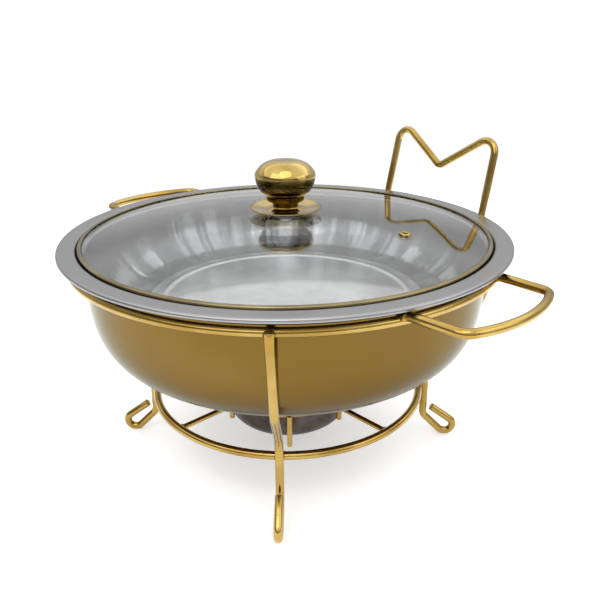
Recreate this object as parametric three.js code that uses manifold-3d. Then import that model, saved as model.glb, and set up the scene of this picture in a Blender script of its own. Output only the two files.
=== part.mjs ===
// A round chafing dish: a wire stand with hairpin feet, a deep water pan, a shallow food pan,
// a glass lid with a knob, and a burner cup under the pans. Millimetres and degrees, +Z up.
// The frame is built around the pans' common axis: +X runs through the right handle, and the
// lid holder stands near +Y.
import * as THREE from 'three';
import { mergeVertices } from 'three/addons/utils/BufferGeometryUtils.js';
import Module from 'manifold-3d';

const wasm = await Module();
wasm.setup();

// ---------------------------------------------------------------- driving dimensions

// Fits
const GAP = 0.3; // between pieces that touch
const NEST_GAP = 1; // between the two pans' walls
const LID_GAP = 1; // around the lid in its recess
const BOWL_TO_LEG = 1.4; // between the water pan and the straight wire of a leg
const LID_TO_HOLDER = 4; // between the rim and the lid holder's wires
const BURNER_RING_GAP = 1.5; // around the burner cup in its ring

// Stock
const ROD = 6; // frame wire
const WIRE = 4; // spoke, prong and burner ring wire
const SHEET = 1; // pan and burner sheet
const GLASS = 3.5;

// Radii, from the rim inwards
const RIM_RADIUS = 165; // outer edge of the food pan
const RIM_WIDTH = 13.3; // flat rim outside the lid's recess
const RIM_LIP = 2.5; // height of the rim's turned-down edge
const LEDGE_WIDTH = 6.7; // what the lid rests on
const RING_MARGIN = 9; // from the water pan's wall to the middle of the top ring

// Heights, from the floor up
const BURNER_FLOOR_GAP = 16;
const BURNER_DEPTH = 35.3;
const FLAME_GAP = 26; // from the lower ring's middle to the water pan
const WATER_DEPTH = 93.3;
const FOOD_DEPTH = 45.6; // from the lid's ledge to the food pan's floor
const LID_RECESS = 5.4;
const FOOD_FLOOR_RADIUS = 108;

// Stand
const LOWER_RING_RADIUS = 105.5;
const LEG_COUNT = 4;
const LEG_AZIMUTH = -45; // of the first leg
const KNEE_RISE = 26; // of a leg's knee above the water pan's underside
const ANKLE_RISE = 16; // of a leg's lower bend above the lower ring
const LEG_BEND = 24;
const FOOT_REACH = 19; // from the leg to the middle of the foot's hairpin
const HAIRPIN_RADIUS = 6.3;
const HAIRPIN_TAIL = 20; // straight end after the hairpin
const TAIL_SLOPE = 36; // of that end above the floor
const SHIN_SLOPE = 45; // of the wire that comes down to the hairpin
const HANDLE_REACH = 33; // of a handle's corners beyond the top ring
const HANDLE_BULGE = 10.5; // of its grip beyond the corners
const HANDLE_ROOT = 46; // half of its width at the ring
const HANDLE_CORNER = 44.5; // half of its width at the corners
const HANDLE_BEND = 9;
const HANDLE_LIFT = 3.5; // of the handles above the middle of the ring
const HOLDER_AZIMUTH = 85;
const HOLDER_LEAN = 12; // away from the dish
const HOLDER_HALF_WIDTH = 55; // at the rim
const HOLDER_TOP_HALF_WIDTH = 53.5;
const HOLDER_RISE = 62.6; // of its two peaks above the rim, before they are rounded
const HOLDER_DIP_RISE = 28.5; // of the notch between them
const HOLDER_PEAK_BEND = 10;
const HOLDER_DIP_BEND = 6;
const HOLDER_ROOT_BEND = 5;

// Burner
const BURNER_RADIUS = 50.5;
const BURNER_FLANGE = 6; // width of its flange
const FLAME_HOLE_RADIUS = 20;
const COVER_SPIGOT = 3.5; // depth of the cover's collar inside the cup
const SHUTTER_RADIUS = 23;
const SHUTTER_EAR_RADIUS = 5;
const RIVET_OFFSET = 34; // from the burner's axis
const RIVET_RADIUS = 1.5;
const RIVET_HEAD_RADIUS = 3.4;
const SHUTTER_TAB = { length: 10, height: 5, inset: 3 };
const SPOKE_HOOK = 11; // length of a spoke's turned-down end
const PRONG_LENGTH = 26.5;
const PRONG_TURN = 4; // from a leg's azimuth to the prong's

// Lid
const BAND_WALL = 1;
const BAND_LIP = 1.2; // how far the band reaches over the glass
const LID_RISE = 14.8;
const LID_CURVE = 2.2; // power of the distance by which the glass falls: 2 is a parabola
const GLASS_EDGE_GAP = 0.7;
const SCREW_RADIUS = 2.5;
const SCREW_HEAD = { radius: 5, height: 3 };
const SCREW_GRIP = 12.7; // how far the screw goes into the knob
const WASHER = { radius: 9, height: 1 };
const GASKET = { radius: 11, height: 0.8 };
const SAUCER_RADIUS = 27;
const SAUCER_HEIGHT = 7.7; // of the knob's base, its neck included
const KNOB_RADIUS = 22.3;
const VENT_DISTANCE = 92.8; // from the lid's axis
const VENT_AZIMUTH = 20.3;
const VENT = { bore: 1.6, tube: 2.6, flange: 4.6, thickness: 0.9 };

// Facets
const TURN = 40; // around the pans and their rings
const SMALL_TURN = 24; // around the burner and the small parts
const WIRE_SIDES = 8;
const CURVE_STEPS = 9; // down a bowl's wall

// Shapes of the bowls' walls, as exponents of a rounded outline: 2 is an ellipse
const DEEP_BOWL = { side: 3.56, base: 4 };
const SHALLOW_PAN = { side: 2.4, base: 2.4 };

// ---------------------------------------------------------------- sizes that follow

const recessRadius = RIM_RADIUS - RIM_WIDTH;
const foodWallRadius = recessRadius - LEDGE_WIDTH + SHEET;
const waterWallRadius = foodWallRadius + NEST_GAP + SHEET;
const ringRadius = waterWallRadius + RING_MARGIN;
const legTopRadius = ringRadius + ROD + GAP;
const legFootRadius = LOWER_RING_RADIUS + ROD + GAP;
const burnerRingRadius = BURNER_RADIUS + BURNER_RING_GAP + WIRE / 2;

const burnerFlangeUnder = BURNER_FLOOR_GAP + BURNER_DEPTH;
const lowerRingHeight = burnerFlangeUnder - GAP - WIRE / 2;
const waterPanUnder = lowerRingHeight + FLAME_GAP;
const waterFlangeUnder = waterPanUnder + WATER_DEPTH;
const waterFlangeTop = waterFlangeUnder + SHEET;
const ringHeight = waterFlangeUnder - GAP - ROD / 2;
const ledgeTop = waterFlangeTop + GAP + SHEET;
const rimTop = ledgeTop + LID_RECESS;

const bandRadius = recessRadius - LID_GAP;
const bandUnder = ledgeTop + GAP;
const glassRadius = bandRadius - BAND_WALL - GLASS_EDGE_GAP;
const glassEdgeTop = bandUnder + BAND_WALL + GAP + GLASS;
const lidCrown = glassEdgeTop + LID_RISE;
const screwHole = SCREW_RADIUS + 0.5;
const saucerUnder = lidCrown + GASKET.height + 2 * GAP;
const knobUnder = saucerUnder + SAUCER_HEIGHT + GAP;

// ---------------------------------------------------------------- finishes

function finish(color, roughness, metalness) {
  return new THREE.MeshStandardMaterial({ color, roughness, metalness });
}
const GOLD = finish(0xd9a441, 0.22, 1);
const SATIN_GOLD = finish(0xa8853e, 0.38, 1);
const STEEL = finish(0xb9bbc0, 0.25, 1);
const DARK_STEEL = finish(0x6e6763, 0.45, 1);
const CLEAR_GLASS = finish(0xdfe6ea, 0.05, 0);
const SILICONE = finish(0xc9c6be, 0.7, 0);

// ---------------------------------------------------------------- helpers

const radians = THREE.MathUtils.degToRad;

function named(name, geometry, material) {
  const mesh = new THREE.Mesh(geometry, material);
  mesh.name = name;
  return mesh;
}

// A point at a distance from the axis, at an azimuth in degrees.
function around(radius, azimuth, height) {
  const a = radians(azimuth);
  return new THREE.Vector3(radius * Math.cos(a), radius * Math.sin(a), height);
}

// A [radius, height] outline turned about the Z axis, whichever way round it is listed.
function turned(outline, segments = TURN) {
  const points = outline.map(([r, z]) => new THREE.Vector2(r, z));
  if (points[0].x > 0) points.push(points[0].clone());
  if (THREE.ShapeUtils.area(points) < 0) points.reverse();
  return new THREE.LatheGeometry(points, segments).rotateX(Math.PI / 2);
}

// A round outline from the top edge of a wall down to a floor of a given radius:
// the radius falls as a power of the cosine, and the height as a power of the sine.
function bowlCurve(radius, top, depth, floorRadius, shape) {
  return Array.from({ length: CURVE_STEPS + 1 }, (_, i) => {
    const t = (i / CURVE_STEPS) * (Math.PI / 2);
    const reach = i === CURVE_STEPS ? 0 : Math.cos(t) ** (2 / shape.side);
    return [
      floorRadius + (radius - floorRadius) * reach,
      top - depth * Math.sin(t) ** (2 / shape.base),
    ];
  });
}

// Wire that follows a list of points, with a section at each of them.
class WirePath extends THREE.Curve {
  constructor(points) {
    super();
    this.points = points;
  }
  getPoint(t, target = new THREE.Vector3()) {
    const last = this.points.length - 1;
    const i = Math.min(Math.floor(t * last), last - 1);
    return target.lerpVectors(this.points[i], this.points[i + 1], t * last - i);
  }
  getTangent(t, target = new THREE.Vector3()) {
    const last = this.points.length - 1;
    const i = Math.round(t * last);
    const end = Math.max(i, 1);
    const start = Math.min(i, last - 1);
    const into = this.points[end].clone().sub(this.points[end - 1]).normalize();
    const out = this.points[start + 1].clone().sub(this.points[start]).normalize();
    return target.copy(into).add(out).normalize();
  }
  getUtoTmapping(u) {
    return u;
  }
}

function wire(points, diameter) {
  const half = diameter / 2 / Math.cos(Math.PI / WIRE_SIDES); // flats at the wire's radius
  const corners = Array.from({ length: WIRE_SIDES }, (_, i) => {
    const a = ((i + 0.5) / WIRE_SIDES) * 2 * Math.PI;
    return new THREE.Vector2(half * Math.cos(a), half * Math.sin(a));
  });
  return new THREE.ExtrudeGeometry(new THREE.Shape(corners), {
    steps: points.length - 1,
    extrudePath: new WirePath(points),
  });
}

// The points of a bend of a given radius that rounds a corner.
function bend(before, corner, after, radius, steps) {
  const into = corner.clone().sub(before).normalize();
  const out = after.clone().sub(corner).normalize();
  const angle = into.angleTo(out);
  const start = corner.clone().addScaledVector(into, -radius * Math.tan(angle / 2));
  const axis = into.clone().cross(out).normalize();
  const centre = start.clone().addScaledVector(axis.clone().cross(into), radius);
  const arm = start.sub(centre);
  return Array.from({ length: steps + 1 }, (_, i) =>
    arm.clone().applyAxisAngle(axis, (angle * i) / steps).add(centre),
  );
}

// Corners are [point, bend radius, bend steps]; a corner with a point alone stays sharp.
function bentWire(corners, diameter) {
  const points = corners.flatMap(([point, radius, steps = 4], i) =>
    radius ? bend(corners[i - 1][0], point, corners[i + 1][0], radius, steps) : [point],
  );
  return wire(points, diameter);
}

function ring(radius, diameter, height, segments = TURN) {
  const geometry = new THREE.TorusGeometry(radius, diameter / 2, WIRE_SIDES, segments);
  return geometry.translate(0, 0, height);
}

// Solids for cutting and joining.
function solid(geometry) {
  const bare = geometry.clone().deleteAttribute('normal').deleteAttribute('uv');
  const merged = mergeVertices(bare.index ? bare.toNonIndexed() : bare, 1e-3);
  return new wasm.Manifold(
    new wasm.Mesh({
      numProp: 3,
      vertProperties: merged.attributes.position.array,
      triVerts: new Uint32Array(merged.index.array),
    }),
  );
}

function geometryOf(shape) {
  const mesh = shape.getMesh();
  const geometry = new THREE.BufferGeometry();
  geometry.setAttribute('position', new THREE.BufferAttribute(mesh.vertProperties, 3));
  geometry.setIndex(new THREE.BufferAttribute(mesh.triVerts, 1));
  geometry.computeVertexNormals();
  return geometry;
}

function rod(radius, bottom, top, segments = SMALL_TURN) {
  const geometry = new THREE.CylinderGeometry(radius, radius, top - bottom, segments);
  return geometry.rotateX(Math.PI / 2).translate(0, 0, (top + bottom) / 2);
}

// ---------------------------------------------------------------- stand

// The radius of a leg's knee: the least at which the straight wire from its top to the knee
// and on to its ankle clears the water pan. Points set off from the pan's wall, along its
// normal, stand for the clearance, and each asks for a line past it to the knee's height.
function kneeRadius(height, top, ankle) {
  const clear = BOWL_TO_LEG + ROD / 2;
  const wall = bowlCurve(waterWallRadius, waterFlangeTop, WATER_DEPTH + SHEET, 0, DEEP_BOWL);
  const asked = wall.slice(1).map(([r, z], i) => {
    const fall = new THREE.Vector2(r - wall[i][0], z - wall[i][1]).normalize();
    const x = r - fall.y * clear;
    const y = z + fall.x * clear;
    const end = y > height ? top : ankle;
    const beyond = y > top.z || y < ankle.z;
    return beyond ? 0 : end.x + ((x - end.x) * (height - end.z)) / (y - end.z);
  });
  return Math.max(...asked);
}

// A leg in the plane of +X: down along the pan, through the lower ring's outside, and out to
// a hairpin that turns under and ends just outside the leg.
function legGeometry() {
  const at = (r, z) => new THREE.Vector3(r, 0, z);
  const shoulder = at(legTopRadius, ringHeight - ROD);
  const ankle = at(legFootRadius, lowerRingHeight + ANKLE_RISE);
  const kneeHeight = waterPanUnder + KNEE_RISE;
  const knee = at(kneeRadius(kneeHeight, shoulder, ankle), kneeHeight);
  const sole = SHIN_SLOPE / 3; // half of each facet under the hairpin, the lowest one level
  const middle = at(
    legFootRadius + FOOT_REACH,
    (HAIRPIN_RADIUS + ROD / 2) * Math.cos(radians(sole)),
  );
  const onHairpin = (degrees) => {
    const a = radians(degrees);
    return middle.clone().add(at(HAIRPIN_RADIUS * Math.cos(a), HAIRPIN_RADIUS * Math.sin(a)));
  };
  const under = [-3, -1, 1, 3].map((k) => -90 + k * sole);
  const last = under[3];
  const over = [1, 2, 3, 4].map((i) => last + ((90 - TAIL_SLOPE - last) * i) / 4);
  const hairpin = [...under, ...over].map(onHairpin);
  const heel = at(
    legFootRadius,
    hairpin[0].z + (hairpin[0].x - legFootRadius) * Math.tan(radians(SHIN_SLOPE)),
  );
  const tail = radians(180 - TAIL_SLOPE);
  const end = at(HAIRPIN_TAIL * Math.cos(tail), HAIRPIN_TAIL * Math.sin(tail));
  end.add(hairpin[hairpin.length - 1]);
  return bentWire(
    [
      [at(legTopRadius, ringHeight + ROD / 2)],
      [shoulder, LEG_BEND, 2],
      [knee, LEG_BEND],
      [ankle, LEG_BEND],
      [heel, ROD * 1.5, 3],
      ...hairpin.map((point) => [point]),
      [end],
    ],
    ROD,
  );
}

// A side handle along +X: two arms that close in slightly, and a bowed grip between them.
function handleGeometry() {
  const z = ringHeight + HANDLE_LIFT;
  const rootX = Math.sqrt((ringRadius + ROD / 2 + GAP) ** 2 - HANDLE_ROOT ** 2);
  const cornerX = ringRadius + HANDLE_REACH;
  const gripRadius = (HANDLE_CORNER ** 2 + HANDLE_BULGE ** 2) / (2 * HANDLE_BULGE);
  const gripCentre = cornerX + HANDLE_BULGE - gripRadius;
  const spread = Math.asin(HANDLE_CORNER / gripRadius);
  const grip = [-0.55, -0.2, 0.2, 0.55].map((share) => {
    const a = share * spread;
    return [
      new THREE.Vector3(gripCentre + gripRadius * Math.cos(a), gripRadius * Math.sin(a), z),
    ];
  });
  const side = (sign) => [
    new THREE.Vector3(rootX, sign * HANDLE_ROOT, z),
    new THREE.Vector3(cornerX, sign * HANDLE_CORNER, z),
  ];
  const [rootA, cornerA] = side(-1);
  const [rootB, cornerB] = side(1);
  return bentWire(
    [[rootA], [cornerA, HANDLE_BEND], ...grip, [cornerB, HANDLE_BEND], [rootB]],
    ROD,
  );
}

// The lid holder: a wire with two peaks and a notch, in a plane that leans away from the dish.
function holderGeometry() {
  const out = around(1, HOLDER_AZIMUTH, 0);
  const across = around(1, HOLDER_AZIMUTH - 90, 0);
  const wireRadius = RIM_RADIUS + ROD / 2 + LID_TO_HOLDER;
  const distance = Math.sqrt(wireRadius ** 2 - HOLDER_HALF_WIDTH ** 2);
  const lean = Math.tan(radians(HOLDER_LEAN));
  const at = (offset, height) =>
    out
      .clone()
      .multiplyScalar(distance + lean * (height - rimTop))
      .addScaledVector(across, offset)
      .setZ(height);
  const foot = (sign) => at(sign * HOLDER_HALF_WIDTH, ringHeight);
  const root = (sign) => {
    const point = foot(sign).setZ(0).setLength(ringRadius + ROD / 2 + GAP);
    return point.setZ(ringHeight);
  };
  const peak = (sign) => at(sign * HOLDER_TOP_HALF_WIDTH, rimTop + HOLDER_RISE);
  return bentWire(
    [
      [root(-1)],
      [foot(-1), HOLDER_ROOT_BEND, 3],
      [peak(-1), HOLDER_PEAK_BEND, 6],
      [at(0, rimTop + HOLDER_DIP_RISE), HOLDER_DIP_BEND],
      [peak(1), HOLDER_PEAK_BEND, 6],
      [foot(1), HOLDER_ROOT_BEND, 3],
      [root(1)],
    ],
    ROD,
  );
}

// A spoke along +X, from the lower ring's inside to a hook outside the burner ring.
function spokeGeometry() {
  const at = (x, z) => new THREE.Vector3(x, 0, z);
  const hook = burnerRingRadius + WIRE + GAP;
  return bentWire(
    [
      [at(LOWER_RING_RADIUS - ROD / 2 - GAP, lowerRingHeight)],
      [at(hook, lowerRingHeight), WIRE, 3],
      [at(hook, lowerRingHeight - SPOKE_HOOK)],
    ],
    WIRE,
  );
}

function prongGeometry() {
  const x = burnerRingRadius + WIRE + GAP;
  const top = lowerRingHeight + WIRE / 2 - GAP;
  const points = [top, top - PRONG_LENGTH].map((z) => new THREE.Vector3(x, 0, z));
  return wire(points, WIRE);
}

function aroundAxis(name, geometry, azimuth, material) {
  const mesh = named(name, geometry, material);
  mesh.rotation.z = radians(azimuth);
  return mesh;
}

function buildStand() {
  const stand = new THREE.Group();
  stand.add(named('top_ring', ring(ringRadius, ROD, ringHeight), GOLD));
  stand.add(named('lower_ring', ring(LOWER_RING_RADIUS, ROD, lowerRingHeight), GOLD));
  const burnerRing = ring(burnerRingRadius, WIRE, lowerRingHeight, SMALL_TURN);
  stand.add(named('burner_ring', burnerRing, GOLD));
  const leg = legGeometry();
  const spoke = spokeGeometry();
  const prong = prongGeometry();
  for (let i = 0; i < LEG_COUNT; i += 1) {
    const azimuth = LEG_AZIMUTH + (i * 360) / LEG_COUNT;
    const between = azimuth + 180 / LEG_COUNT;
    stand.add(aroundAxis(`leg_${i + 1}`, leg, azimuth, GOLD));
    stand.add(aroundAxis(`spoke_${i + 1}`, spoke, between, GOLD));
    stand.add(aroundAxis(`burner_prong_${i + 1}`, prong, azimuth + PRONG_TURN, GOLD));
  }
  const handle = handleGeometry();
  stand.add(aroundAxis('handle_right', handle, 0, GOLD));
  stand.add(aroundAxis('handle_left', handle, 180, GOLD));
  stand.add(named('lid_holder', holderGeometry(), GOLD));
  return stand;
}

// ---------------------------------------------------------------- pans

// A bowl of sheet with a flat flange that reaches to a radius.
function flangedBowl(radius, flangeUnder, depth, flangeRadius, shape, segments = TURN) {
  const top = flangeUnder + SHEET;
  const outside = bowlCurve(radius, top, depth + SHEET, 0, shape);
  const inside = bowlCurve(radius - SHEET, top, depth, 0, shape);
  return turned(
    [
      ...inside.reverse(),
      [flangeRadius, top],
      [flangeRadius, flangeUnder],
      [radius, flangeUnder],
      ...outside.slice(1),
    ],
    segments,
  );
}

function buildWaterPan() {
  const geometry = flangedBowl(
    waterWallRadius,
    waterFlangeUnder,
    WATER_DEPTH,
    ringRadius,
    DEEP_BOWL,
  );
  return named('water_pan', geometry, SATIN_GOLD);
}

// The food pan steps up from the lid's ledge to its wide flat rim and turns down at the edge.
function buildFoodPan() {
  const inside = bowlCurve(
    foodWallRadius - SHEET,
    ledgeTop,
    FOOD_DEPTH,
    FOOD_FLOOR_RADIUS,
    SHALLOW_PAN,
  );
  const outside = bowlCurve(
    foodWallRadius,
    ledgeTop - SHEET,
    FOOD_DEPTH,
    FOOD_FLOOR_RADIUS,
    SHALLOW_PAN,
  );
  const rimUnder = rimTop - SHEET;
  const roll = 1; // of the rim's edge
  return named(
    'food_pan',
    turned([
      [0, ledgeTop - FOOD_DEPTH],
      ...inside.reverse(),
      [recessRadius, ledgeTop],
      [recessRadius, rimTop],
      [RIM_RADIUS - roll, rimTop],
      [RIM_RADIUS, rimTop - roll],
      [RIM_RADIUS, rimTop - RIM_LIP],
      [RIM_RADIUS - SHEET, rimTop - RIM_LIP],
      [RIM_RADIUS - SHEET, rimUnder],
      [recessRadius + SHEET, rimUnder],
      [recessRadius + SHEET, ledgeTop - SHEET],
      ...outside,
      [0, ledgeTop - SHEET - FOOD_DEPTH],
    ]),
    STEEL,
  );
}

// ---------------------------------------------------------------- lid

// Height of the glass's upper face at a distance from the axis.
function glassTop(radius) {
  return lidCrown - LID_RISE * (radius / glassRadius) ** LID_CURVE;
}

function glassSlope(radius) {
  return (-LID_CURVE * LID_RISE * (radius / glassRadius) ** (LID_CURVE - 1)) / glassRadius;
}

// What stands or cuts at the steam vent, square to the glass.
function placeAtVent(object) {
  object.position.copy(around(VENT_DISTANCE, VENT_AZIMUTH, glassTop(VENT_DISTANCE)));
  object.rotation.set(0, -Math.atan(glassSlope(VENT_DISTANCE)), radians(VENT_AZIMUTH), 'ZYX');
  object.updateMatrix();
  return object;
}

function buildLidGlass() {
  const steps = 8;
  const hole = screwHole + 1;
  const top = Array.from({ length: steps + 1 }, (_, i) => {
    const r = hole + ((glassRadius - hole) * i) / steps;
    return [r, glassTop(r)];
  });
  const under = top.map(([r, z]) => [r, z - GLASS]).reverse();
  const vent = placeAtVent(new THREE.Mesh(rod(VENT.tube + GAP, -3 * GLASS, 3 * GLASS)));
  const cutter = vent.geometry.clone().applyMatrix4(vent.matrix);
  const glass = solid(turned([...top, ...under])).subtract(solid(cutter));
  return named('lid_glass', geometryOf(glass), CLEAR_GLASS);
}

// A channel of sheet around the glass's edge.
function buildLidBand() {
  const inner = bandRadius - BAND_WALL;
  const under = glassEdgeTop + GAP;
  const lip = glassRadius - BAND_LIP;
  const rise = glassTop(lip) - glassEdgeTop; // the lip lies along the glass
  return named(
    'lid_band',
    turned([
      [lip, bandUnder],
      [bandRadius, bandUnder],
      [bandRadius, under + BAND_WALL],
      [glassRadius, under + BAND_WALL],
      [lip, under + rise + BAND_WALL],
      [lip, under + rise],
      [glassRadius, under],
      [inner, under],
      [inner, bandUnder + BAND_WALL],
      [lip, bandUnder + BAND_WALL],
    ]),
    GOLD,
  );
}

// A hollow rivet clenched on both faces of the glass.
function buildVent() {
  const { bore, tube, flange, thickness } = VENT;
  const under = -GLASS - GAP;
  const geometry = turned(
    [
      [bore, under - thickness],
      [flange, under - thickness],
      [flange, under],
      [tube, under],
      [tube, GAP],
      [flange, GAP],
      [flange - thickness / 2, GAP + thickness],
      [bore, GAP + thickness],
    ],
    16,
  );
  return placeAtVent(named('steam_vent', geometry, GOLD));
}

// A shallow saucer with a short neck that the knob sits on.
function buildKnobBase() {
  const z = saucerUnder;
  const edge = z + 3.2;
  const neck = 10.5;
  return named(
    'knob_base',
    turned(
      [
        [screwHole, z],
        [neck + 1.5, z],
        [SAUCER_RADIUS - 7, edge - 2],
        [SAUCER_RADIUS, edge - 0.5],
        [SAUCER_RADIUS, edge + 0.3],
        [SAUCER_RADIUS - 1, edge + 0.6],
        [SAUCER_RADIUS - 7, edge - 0.8],
        [neck + 4, z + 1.4],
        [neck, z + 2.6],
        [neck - 1, z + 4.8],
        [neck, z + SAUCER_HEIGHT],
        [screwHole, z + SAUCER_HEIGHT],
      ],
      SMALL_TURN,
    ),
    GOLD,
  );
}

// A mushroom: a collar, an undercut and a domed cap, with a blind hole for the screw.
function buildKnobCap() {
  const z = knobUnder;
  const r = KNOB_RADIUS;
  return named(
    'knob_cap',
    turned(
      [
        [0, z + SCREW_GRIP + 2],
        [screwHole, z + SCREW_GRIP + 1],
        [screwHole, z],
        [r - 9, z],
        [r - 8.3, z + 0.9],
        [r - 8.3, z + 3.6],
        [r - 6.9, z + 4.8],
        [r - 3.3, z + 7.8],
        [r - 1.1, z + 12.2],
        [r - 0.2, z + 16.5],
        [r, z + 18.6],
        [r - 1.6, z + 22.2],
        [r - 5.2, z + 25.8],
        [r - 10.8, z + 28.4],
        [r - 16.6, z + 29.4],
        [0, z + 29.7],
      ],
      SMALL_TURN,
    ),
    GOLD,
  );
}

function plate(inner, outer, bottom, height) {
  const top = bottom + height;
  return turned(
    [
      [inner, bottom],
      [outer, bottom],
      [outer, top],
      [inner, top],
    ],
    SMALL_TURN,
  );
}

function buildKnobFixings() {
  const gasketUnder = lidCrown + GAP;
  const washerUnder = lidCrown - GLASS - GAP - WASHER.height;
  const headTop = washerUnder - GAP;
  const screw = turned(
    [
      [0, headTop - SCREW_HEAD.height],
      [SCREW_HEAD.radius - 1, headTop - SCREW_HEAD.height],
      [SCREW_HEAD.radius, headTop - SCREW_HEAD.height + 1],
      [SCREW_HEAD.radius, headTop],
      [SCREW_RADIUS, headTop],
      [SCREW_RADIUS, knobUnder + SCREW_GRIP],
      [0, knobUnder + SCREW_GRIP],
    ],
    SMALL_TURN,
  );
  return [
    named('knob_gasket', plate(screwHole, GASKET.radius, gasketUnder, GASKET.height), SILICONE),
    named('knob_washer', plate(screwHole, WASHER.radius, washerUnder, WASHER.height), STEEL),
    named('knob_screw', screw, STEEL),
  ];
}

function buildLid() {
  const lid = new THREE.Group();
  lid.add(buildLidGlass(), buildLidBand(), buildVent());
  lid.add(buildKnobBase(), buildKnobCap(), ...buildKnobFixings());
  return lid;
}

// ---------------------------------------------------------------- burner

const coverUnder = burnerFlangeUnder + SHEET + GAP;
const shutterUnder = coverUnder + SHEET + GAP;
const rivetHole = RIVET_RADIUS + GAP;

function buildBurnerCup() {
  const geometry = flangedBowl(
    BURNER_RADIUS,
    burnerFlangeUnder,
    BURNER_DEPTH - SHEET,
    BURNER_RADIUS + BURNER_FLANGE,
    DEEP_BOWL,
    SMALL_TURN,
  );
  return named('burner_cup', geometry, DARK_STEEL);
}

// A plate on the cup's flange, with a collar inside the cup, a flame hole and a rivet hole.
function buildBurnerCover() {
  const collar = BURNER_RADIUS - SHEET - 2 * GAP - 1;
  const top = coverUnder + SHEET;
  const blank = turned(
    [
      [FLAME_HOLE_RADIUS, coverUnder],
      [collar - SHEET, coverUnder],
      [collar - SHEET, coverUnder - COVER_SPIGOT],
      [collar, coverUnder - COVER_SPIGOT],
      [collar, coverUnder],
      [BURNER_RADIUS + BURNER_FLANGE - SHEET, coverUnder],
      [BURNER_RADIUS + BURNER_FLANGE - SHEET, top],
      [FLAME_HOLE_RADIUS, top],
    ],
    SMALL_TURN,
  );
  const hole = rod(rivetHole, coverUnder - SHEET, top + SHEET, 12);
  hole.translate(RIVET_OFFSET, 0, 0);
  return named('burner_cover', geometryOf(solid(blank).subtract(solid(hole))), STEEL);
}

// A disc with an ear that turns on the rivet, and an upright tab to push it by.
function buildShutter() {
  const lean = Math.acos((SHUTTER_RADIUS - SHUTTER_EAR_RADIUS) / RIVET_OFFSET);
  const outline = new THREE.Shape();
  outline.absarc(0, 0, SHUTTER_RADIUS, lean, 2 * Math.PI - lean, false);
  outline.absarc(RIVET_OFFSET, 0, SHUTTER_EAR_RADIUS, -lean, lean, false);
  const hole = new THREE.Path();
  hole.absarc(RIVET_OFFSET, 0, rivetHole, 0, 2 * Math.PI, true);
  outline.holes.push(hole);
  const disc = new THREE.ExtrudeGeometry(outline, {
    depth: SHEET,
    bevelEnabled: false,
    curveSegments: 16,
  });
  const tab = new THREE.BoxGeometry(SHEET, SHUTTER_TAB.length, SHUTTER_TAB.height + SHEET);
  tab.translate(
    SHUTTER_TAB.inset - SHUTTER_RADIUS,
    0,
    (SHUTTER_TAB.height + SHEET) / 2,
  );
  const geometry = geometryOf(solid(disc).add(solid(tab)));
  return named('burner_shutter', geometry.translate(0, 0, shutterUnder), STEEL);
}

function buildRivet() {
  const under = coverUnder - GAP;
  const over = shutterUnder + SHEET + GAP;
  const geometry = turned(
    [
      [0, under - SHEET],
      [RIVET_HEAD_RADIUS, under - SHEET],
      [RIVET_HEAD_RADIUS, under],
      [RIVET_RADIUS, under],
      [RIVET_RADIUS, over],
      [RIVET_HEAD_RADIUS, over],
      [RIVET_HEAD_RADIUS - SHEET / 2, over + SHEET],
      [0, over + SHEET],
    ],
    12,
  );
  return named('shutter_rivet', geometry.translate(RIVET_OFFSET, 0, 0), DARK_STEEL);
}

function buildBurner() {
  const burner = new THREE.Group();
  burner.add(buildBurnerCup(), buildBurnerCover(), buildShutter(), buildRivet());
  return burner;
}

// ---------------------------------------------------------------- the dish

const dish = new THREE.Group();
dish.add(buildStand(), buildWaterPan(), buildFoodPan(), buildLid(), buildBurner());

// The frame's origin is on the floor, under the middle of the whole object.
const middle = new THREE.Box3().setFromObject(dish, true).getCenter(new THREE.Vector3());
dish.position.set(-middle.x, -middle.y, 0);

export default dish;
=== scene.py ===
"""A round chafing dish in a white studio: a polished gold wire stand, a gold water pan, a steel
food pan, a glass lid in a plated band, and a small burner under the pans.

Every visible piece is a surface worked out as a grid of points. It is either a profile turned
about an axis, or a round section carried along a path of wire. Lengths are in millimetres until
a grid becomes a mesh, which is in metres.
"""

import math

import bmesh
import bpy
import numpy as np
from mathutils import Matrix, Vector


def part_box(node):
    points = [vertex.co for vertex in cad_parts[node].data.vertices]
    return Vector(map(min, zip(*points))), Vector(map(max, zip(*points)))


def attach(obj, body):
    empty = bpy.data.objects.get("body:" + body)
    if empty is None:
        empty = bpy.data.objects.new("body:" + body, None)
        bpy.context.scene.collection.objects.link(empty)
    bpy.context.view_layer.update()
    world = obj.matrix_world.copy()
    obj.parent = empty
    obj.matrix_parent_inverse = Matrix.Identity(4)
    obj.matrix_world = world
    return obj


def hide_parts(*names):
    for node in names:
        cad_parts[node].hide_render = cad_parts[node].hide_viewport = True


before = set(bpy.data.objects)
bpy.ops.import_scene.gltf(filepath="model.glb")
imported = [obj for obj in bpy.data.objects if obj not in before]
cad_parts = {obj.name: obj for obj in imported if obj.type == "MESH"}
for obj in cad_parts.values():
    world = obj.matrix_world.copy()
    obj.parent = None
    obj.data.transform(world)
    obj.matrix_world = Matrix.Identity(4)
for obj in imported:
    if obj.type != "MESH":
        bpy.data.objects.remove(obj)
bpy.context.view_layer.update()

MM = 0.001  # metres in a millimetre
TURN = 2 * math.pi


# ---------------------------------------------------------------- camera

CAMERA_PLACE = (362.4, -329.5, 317.1)
CAMERA_AIM = (12.4, -5.5, 122.9)
CAMERA_ROLL = -0.38  # degrees
LENS = 40.0
SENSOR = 36.0
FRONT = (0.734, -0.679)  # level, from the point aimed at toward the camera


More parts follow.
